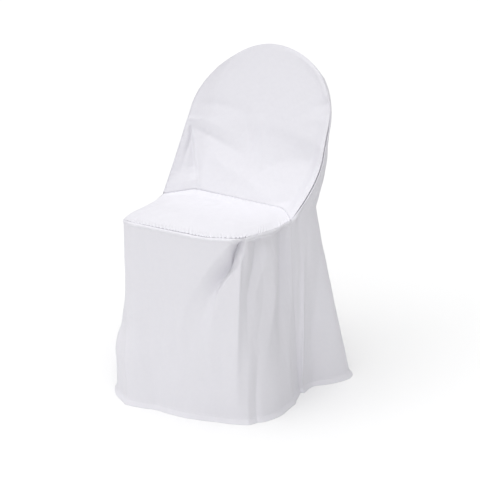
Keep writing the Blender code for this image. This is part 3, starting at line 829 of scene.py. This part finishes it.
def stitch_frames(sheet, out):
    """Middles and along, up and out directions of stitches at even steps along the topstitch."""
    above = np.linalg.norm(np.diff(sheet, axis=0), axis=-1)[::-1].cumsum(axis=0)
    row = len(sheet) - 2 - int(np.argmin(np.abs(above.mean(axis=1) - STITCH_HEIGHT)))
    line = sheet[row] + outward_normals(sheet, out)[row] * (CLOTH_THICKNESS / 2.0)
    normal = outward_normals(sheet, out)[row]
    length = np.append(0.0, np.cumsum(np.linalg.norm(np.diff(line, axis=0), axis=1)))
    at = np.arange(STITCH_PITCH, length[-1] - STITCH_PITCH, STITCH_PITCH)
    middle, away = (np.stack([np.interp(at, length, axis) for axis in points.T], axis=-1)
                    for points in (line, normal))
    along = np.gradient(middle, axis=0)
    along /= np.linalg.norm(along, axis=1, keepdims=True)
    away -= (away * along).sum(axis=1, keepdims=True) * along
    away /= np.linalg.norm(away, axis=1, keepdims=True)
    return middle, along, np.cross(away, along), away


def stitches(frames):
    """A grid of points for each stitch: a thread whose radius falls as sqrt(1 - t^4) to its ends.

    t runs from -1 to 1 along the stitch, and its ends sink into the cloth as t^2.
    """
    middle, along, up, away = frames
    t = np.linspace(-1.0, 1.0, STITCH_RINGS)
    turn = np.linspace(0.0, 2.0 * np.pi, STITCH_SIDES, endpoint=False)
    radius = THREAD_RADIUS * np.sqrt(np.clip(1.0 - t**4, THREAD_TIP, 1.0))
    run = (t * STITCH_LENGTH / 2.0)[:, None] * np.ones(len(turn))
    across = radius[:, None] * np.cos(turn)
    raised = radius[:, None] * np.sin(turn) - (THREAD_RADIUS * THREAD_SINK * t**2)[:, None]
    return (middle[:, None, None] + run[None, ..., None] * along[:, None, None]
            + across[None, ..., None] * up[:, None, None] + raised[None, ..., None] * away[:, None, None])


# Meshes


def grid_faces(rows, columns, out):
    """The quads of a grid of points, each from four neighbours, wound to face out."""
    corner = np.arange(rows * columns).reshape(rows, columns)
    faces = np.stack([corner[:-1, :-1], corner[1:, :-1], corner[1:, 1:], corner[:-1, 1:]], axis=-1)
    faces = faces.reshape(-1, 4)
    return faces[:, ::-1] if out == REAR_FACING else faces


def new_object(name, points, faces, material):
    """A smooth mesh object at the origin with these points, in metres from the hanging point."""
    mesh = bpy.data.meshes.new(name)
    mesh.from_pydata(points.reshape(-1, 3) - HANGING_POINT, [], faces)
    mesh.shade_smooth()
    mesh.materials.append(material)
    made = bpy.data.objects.new(name, mesh)
    bpy.context.scene.collection.objects.link(made)
    return made


def cloth_map(mesh, sheet):
    """A UV map in metres: half of left less right distance across, and distance from the top down."""
    left, right, top, _ = edge_distances(sheet)
    flat = np.stack([(left - right) / 2.0, -top], axis=-1).reshape(-1, 2)
    corners = np.empty(len(mesh.loops), np.int32)
    mesh.loops.foreach_get("vertex_index", corners)
    layer = mesh.uv_layers.new(name="cloth")
    layer.data.foreach_set("uv", flat[corners].astype(np.float32).ravel())


def make_cloth(name, sheet, out, node):
    """A panel in the cloth's thickness that stands for its node."""
    settings = bpy.context.scene.chair_cover
    made = new_object(name, sheet, grid_faces(*sheet.shape[:2], out), fabric_material())
    cloth_map(made.data, sheet)
    thickness = made.modifiers.new("cloth", "SOLIDIFY")
    thickness.thickness = settings.cloth_thickness
    thickness.offset = 0.0
    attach(made, "root")
    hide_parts(node)
    return made


def make_stitches(name, sheet, out):
    """The hem's topstitch as one object of separate threads."""
    threads = stitches(stitch_frames(sheet, out))
    count, rings, sides = threads.shape[:3]
    ring = np.arange(rings * sides).reshape(rings, sides)
    ring = np.concatenate([ring, ring[:, :1]], axis=1)
    faces = np.stack([ring[:-1, :-1], ring[1:, :-1], ring[1:, 1:], ring[:-1, 1:]], axis=-1)
    first = np.arange(count)[:, None, None] * rings * sides
    faces = (faces.reshape(-1, 4)[None] + first).reshape(-1, 4)
    made = new_object(name, threads, faces, thread_material())
    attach(made, "root")
    return made


# Looks


def linear(colour):
    """An sRGB hex colour as linear values: c / 12.92 when dark, else ((c + 0.055) / 1.055)^2.4."""
    srgb = np.array([int(colour[i:i + 2], 16) for i in (1, 3, 5)]) / 255.0
    return (*np.where(srgb <= 0.04045, srgb / 12.92, ((srgb + 0.055) / 1.055) ** 2.4), 1.0)


def add_node(material, kind, links=(), **settings):
    """A node with its settings and its links, each (input, other node, output).

    A name in inputs sets that input's value.
    """
    node = material.node_tree.nodes.new(kind)
    for name, value in settings.pop("inputs", {}).items():
        node.inputs[name].default_value = value
    for name, value in settings.items():
        setattr(node, name, value)
    for socket, other, output in links:
        material.node_tree.links.new(other.outputs[output], node.inputs[socket])
    return node


def new_material(name, finish):
    """A material with these values on the inputs of its surface, and that surface's node."""
    material = bpy.data.materials.new(name)
    material.use_nodes = True
    surface = material.node_tree.nodes["Principled BSDF"]
    for socket, value in finish.items():
        surface.inputs[socket].default_value = value
    return material, surface


def fabric_material():
    """White plain-woven polyester, optically brightened, so slightly blue, and matt with a soft sheen."""
    name = "plain-woven polyester, white"
    if name in bpy.data.materials:
        return bpy.data.materials[name]
    settings = bpy.context.scene.chair_cover
    material, surface = new_material(name, {"Roughness": 0.82, "Specular IOR Level": 0.3,
                                            "Sheen Weight": 0.12, "Sheen Roughness": 0.5})
    cloth = add_node(material, "ShaderNodeUVMap", uv_map="cloth")
    scale = 2.0 * np.pi / (WAVE_TEXTURE_FACTOR * settings.yarn_spacing)
    yarns = [
        add_node(material, "ShaderNodeTexWave", [("Vector", cloth, "UV")], bands_direction=direction,
                 inputs={"Scale": scale, "Distortion": 0.6, "Detail": 1.0, "Detail Scale": 0.5})
        for direction in ("X", "Y")
    ]
    weave = add_node(material, "ShaderNodeMath", [(0, yarns[0], "Fac"), (1, yarns[1], "Fac")],
                     operation="MULTIPLY")
    slubs = add_node(material, "ShaderNodeTexNoise", [("Vector", cloth, "UV")],
                     inputs={"Scale": SLUBS_PER_METRE, "Detail": 3.0, "Roughness": 0.6})
    relief = add_node(material, "ShaderNodeMath", [(0, weave, 0), (1, slubs, "Fac")], operation="ADD")
    bump = add_node(material, "ShaderNodeBump", [("Height", relief, 0)],
                    inputs={"Strength": 0.16, "Distance": WEAVE_RELIEF})
    tint = add_node(material, "ShaderNodeMix", [("Factor", slubs, "Fac")], data_type="RGBA")
    tint.inputs["A"].default_value = linear(settings.cloth_shade)
    tint.inputs["B"].default_value = linear(settings.cloth_colour)
    material.node_tree.links.new(tint.outputs["Result"], surface.inputs["Base Color"])
    material.node_tree.links.new(bump.outputs["Normal"], surface.inputs["Normal"])
    return material


def thread_material():
    """Spun polyester sewing thread, a little glossier than the cloth."""
    name = "spun polyester thread, white"
    if name in bpy.data.materials:
        return bpy.data.materials[name]
    colour = linear(bpy.context.scene.chair_cover.cloth_colour)
    return new_material(name, {"Base Color": colour, "Roughness": 0.6})[0]


def floor_material():
    """Seamless studio paper, matt and white."""
    colour = linear(bpy.context.scene.chair_cover_studio.floor_colour)
    return new_material("seamless paper, white",
                        {"Base Color": colour, "Roughness": 0.9, "Specular IOR Level": 0.0})[0]


def add_lamp(name, place, strength, width):
    """A distant lamp that covers this angle of the sky in this direction."""
    light = bpy.data.lights.new(name, "SUN")
    light.energy = strength
    light.angle = width
    lamp = bpy.data.objects.new(name, light)
    lamp.rotation_euler = Vector(place).to_track_quat("Z", "Y").to_euler()
    bpy.context.scene.collection.objects.link(lamp)


def add_floor(settings):
    """A round floor under the cover, flat at its feet."""
    turn = np.linspace(0.0, 2.0 * np.pi, FLOOR_SIDES, endpoint=False)
    rim = settings.floor_radius * np.stack([np.cos(turn), np.sin(turn), 0.0 * turn], axis=-1)
    rim[:, :2] += HANGING_POINT[:2]
    new_object("studio_floor", rim, [list(range(len(rim)))], floor_material())


def light_sky(scene, strength):
    """The same white light from all round."""
    world = scene.world or bpy.data.worlds.new("studio sky")
    scene.world = world
    world.use_nodes = True
    sky = world.node_tree.nodes["Background"]
    sky.inputs["Color"].default_value = (1.0, 1.0, 1.0, 1.0)
    sky.inputs["Strength"].default_value = strength


def add_camera(scene):
    """The camera on the photograph's line of sight, this far from its target."""
    lens = bpy.data.cameras.new("camera")
    lens.sensor_width = SENSOR_WIDTH
    lens.lens = FOCAL_LENGTH
    lens.clip_end = CAMERA_REACH
    camera = bpy.data.objects.new("camera", lens)
    azimuth, elevation = np.radians(CAMERA_AZIMUTH), np.radians(CAMERA_ELEVATION)
    back = Vector((np.sin(azimuth) * np.cos(elevation), -np.cos(azimuth) * np.cos(elevation),
                   np.sin(elevation)))
    camera.rotation_euler = back.to_track_quat("Z", "Y").to_euler()
    camera.location = Vector(CAMERA_TARGET - HANGING_POINT) + back * CAMERA_DISTANCE
    scene.collection.objects.link(camera)
    scene.camera = camera


# Add-on


class ChairCoverSettings(bpy.types.PropertyGroup):
    cloth_thickness: FloatProperty(
        name="Cloth thickness", description="Thickness of one layer of the cloth",
        default=CLOTH_THICKNESS, min=0.0002, max=0.003, subtype="DISTANCE", unit="LENGTH")
    yarn_spacing: FloatProperty(
        name="Yarn spacing", description="Distance at which the weave's yarns are drawn",
        default=YARN_SPACING * DRAWN_COARSER, min=0.0002, max=0.003, subtype="DISTANCE", unit="LENGTH")
    cloth_colour: StringProperty(
        name="Cloth colour", description="Colour of the cloth, as an sRGB hex value", default="#e3e2e7")
    cloth_shade: StringProperty(
        name="Slub colour", description="Colour of the cloth's thicker yarns, as an sRGB hex value",
        default="#dfdee4")


class ChairCoverStudioSettings(bpy.types.PropertyGroup):
    floor_colour: StringProperty(
        name="Floor colour", description="Colour of the studio paper, as an sRGB hex value",
        default="#f4f4f4")
    floor_radius: FloatProperty(
        name="Floor radius", description="Radius of the studio floor",
        default=100.0, min=5.0, subtype="DISTANCE", unit="LENGTH")
    sky_strength: FloatProperty(
        name="Sky strength", description="Strength of the even light from all round",
        default=0.12, min=0.0)
    lamp_strength: FloatProperty(
        name="Overhead lamp strength", description="Strength of the wide soft lamp overhead",
        default=2.93, min=0.0)
    lamp_width: FloatProperty(
        name="Overhead lamp width", description="Angle that the overhead lamp covers in the sky",
        default=np.radians(90.0), subtype="ANGLE", unit="ROTATION")
    lamp_place: FloatVectorProperty(
        name="Overhead lamp direction", description="Direction from the cover to the overhead lamp",
        default=(-0.04, -0.11, 1.0), subtype="DIRECTION")
    left_strength: FloatProperty(
        name="Left lamp strength", description="Strength of the lamp at the front left",
        default=0.41, min=0.0)
    left_place: FloatVectorProperty(
        name="Left lamp direction", description="Direction from the cover to the front left lamp",
        default=(-0.50, -0.80, 0.42), subtype="DIRECTION")
    right_strength: FloatProperty(
        name="Right lamp strength", description="Strength of the lamp at the front right",
        default=0.40, min=0.0)
    right_place: FloatVectorProperty(
        name="Right lamp direction", description="Direction from the cover to the front right lamp",
        default=(0.45, -0.85, 0.36), subtype="DIRECTION")


class CHAIRCOVER_OT_inside_back(bpy.types.Operator):
    """Add the inside back with its two webs"""

    bl_idname = "chair_cover.inside_back"
    bl_label = "Inside Back"

    def execute(self, context):
        made = make_cloth("inside_back_cloth", inside_back_sheet(), FRONT_FACING, "inside_back")
        return {"FINISHED"}


class CHAIRCOVER_OT_seat(bpy.types.Operator):
    """Add the seat panel, gathered along its seams"""

    bl_idname = "chair_cover.seat"
    bl_label = "Seat"

    def execute(self, context):
        made = make_cloth("seat_cloth", seat_sheet(), FRONT_FACING, "seat")
        return {"FINISHED"}


class CHAIRCOVER_OT_front_skirt(bpy.types.Operator):
    """Add the front skirt and its hem stitching"""

    bl_idname = "chair_cover.front_skirt"
    bl_label = "Front Skirt"

    def execute(self, context):
        sheet = front_skirt_sheet()
        made = make_cloth("front_skirt_cloth", sheet, FRONT_FACING, "front_skirt")
        sewn = make_stitches("front_skirt_topstitch", sheet, FRONT_FACING)
        return {"FINISHED"}


class CHAIRCOVER_OT_outside_back(bpy.types.Operator):
    """Add the outside back and its hem stitching"""

    bl_idname = "chair_cover.outside_back"
    bl_label = "Outside Back"

    def execute(self, context):
        sheet = outside_back_sheet()
        made = make_cloth("outside_back_cloth", sheet, REAR_FACING, "outside_back")
        sewn = make_stitches("outside_back_topstitch", sheet, REAR_FACING)
        return {"FINISHED"}


class CHAIRCOVER_OT_studio(bpy.types.Operator):
    """Add the floor, the lights and the camera"""

    bl_idname = "chair_cover.studio"
    bl_label = "Studio"

    def execute(self, context):
        scene = context.scene
        settings = scene.chair_cover_studio
        add_floor(settings)
        light_sky(scene, settings.sky_strength)
        add_lamp("overhead_lamp", settings.lamp_place, settings.lamp_strength, settings.lamp_width)
        add_lamp("left_lamp", settings.left_place, settings.left_strength, FILL_WIDTH)
        add_lamp("right_lamp", settings.right_place, settings.right_strength, FILL_WIDTH)
        add_camera(scene)
        scene.view_settings.view_transform = "Standard"
        return {"FINISHED"}


class CHAIRCOVER_PT_panel(bpy.types.Panel):
    """The cover's sizes, colours and pieces"""

    bl_idname = "CHAIRCOVER_PT_panel"
    bl_label = "Chair Cover"
    bl_space_type = "VIEW_3D"
    bl_region_type = "UI"
    bl_category = "Chair Cover"

    def draw(self, context):
        for settings in (context.scene.chair_cover, context.scene.chair_cover_studio):
            column = self.layout.column()
            for name in settings.bl_rna.properties.keys():
                if name not in ("rna_type", "name"):
                    column.prop(settings, name)
        for operator in OPERATORS:
            self.layout.operator(operator.bl_idname)


OPERATORS = (
    CHAIRCOVER_OT_inside_back,
    CHAIRCOVER_OT_seat,
    CHAIRCOVER_OT_front_skirt,
    CHAIRCOVER_OT_outside_back,
    CHAIRCOVER_OT_studio,
)
CLASSES = (ChairCoverSettings, ChairCoverStudioSettings, *OPERATORS, CHAIRCOVER_PT_panel)


def register():
    """Register the classes and the scene's settings."""
    for item in CLASSES:
        bpy.utils.register_class(item)
    bpy.types.Scene.chair_cover = PointerProperty(type=ChairCoverSettings)
    bpy.types.Scene.chair_cover_studio = PointerProperty(type=ChairCoverStudioSettings)


def unregister():
    """Take the settings and the classes away again."""
    del bpy.types.Scene.chair_cover_studio
    del bpy.types.Scene.chair_cover
    for item in reversed(CLASSES):
        bpy.utils.unregister_class(item)


def main():
    """Make the pieces and the studio."""
    register()
    bpy.ops.chair_cover.inside_back()
    bpy.ops.chair_cover.seat()
    bpy.ops.chair_cover.front_skirt()
    bpy.ops.chair_cover.outside_back()
    bpy.ops.chair_cover.studio()


if __name__ == "__main__":
    main()
